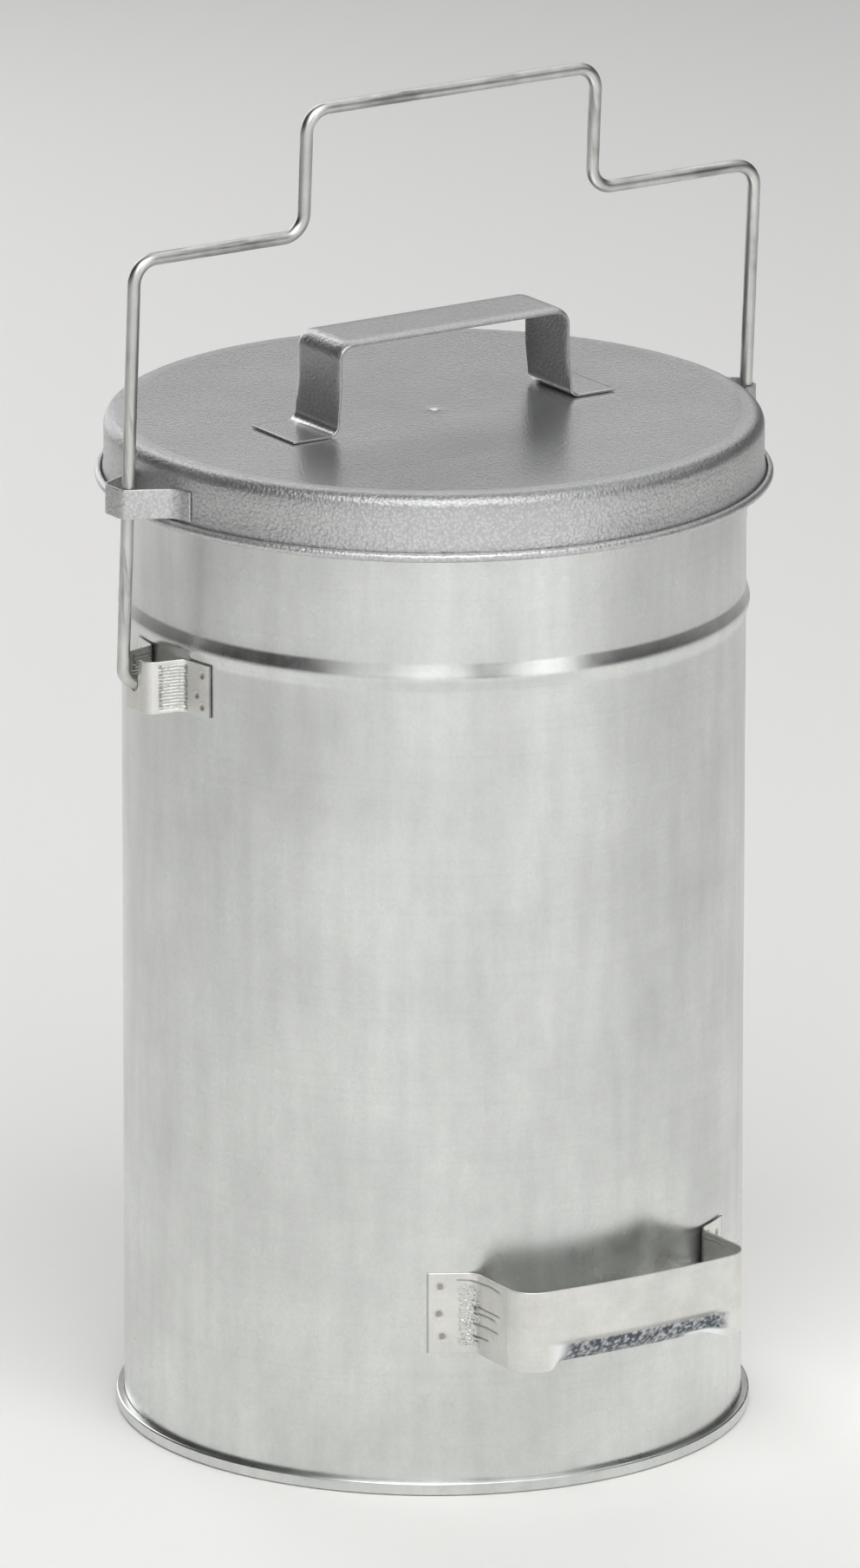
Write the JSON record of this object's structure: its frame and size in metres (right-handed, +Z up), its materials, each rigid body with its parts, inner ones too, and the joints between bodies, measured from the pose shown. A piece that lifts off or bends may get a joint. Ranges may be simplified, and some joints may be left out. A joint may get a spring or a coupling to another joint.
{
  "type": "lidded ash pail",
  "caption": "Tall round galvanized steel ash pail with a stepped wire bail, a captive painted lid that slides on the bail, a strap handle on the lid and a tilting handle low on the wall.",
  "frame": {"origin": "on the ground under the middle of the overall size; the pail's own axis stands at X 0, Y +8 mm", "axes": "+Z up, +X from the left ear of the bail to the right one seen from the tilting handle, -Y the way the tilting handle faces"},
  "size_m": [0.2908, 0.2764, 0.5289],
  "materials": {
    "galvanized_sheet": "satin zinc coat, cloudy with fine scratches",
    "galvanized_strap": "satin zinc coat with press marks and spot welds",
    "galvanized_wire": "satin drawn wire with scuffs",
    "hammertone_paint": "silver grey hammer paint, half gloss"
  },
  "bodies": {
    "pail": {"body_shell": "galvanized_sheet", "rim_wire": "galvanized_wire", "bottom_pan": "galvanized_sheet", "pour_handle": "galvanized_strap", "bail_ear_left": "galvanized_strap", "bail_ear_right": "galvanized_strap"},
    "lid": {"lid_shell": "hammertone_paint", "lid_handle": "hammertone_paint", "lid_keeper_left": "hammertone_paint", "lid_keeper_right": "hammertone_paint"},
    "bail": {"bail": "galvanized_wire"}
  },
  "joints": [
    {"name": "lid_lift", "type": "slide", "parent": "pail", "child": "lid", "axis": [0, -0.0576, 0.9983], "range_m": [0, 0.0755]},
    {"name": "bail_rock", "type": "hinge", "parent": "pail", "child": "bail", "pos_m": [0, 0.00805, 0.3091], "axis": [1, 0, 0], "range_deg": [-3.3, 0]}
  ]
}
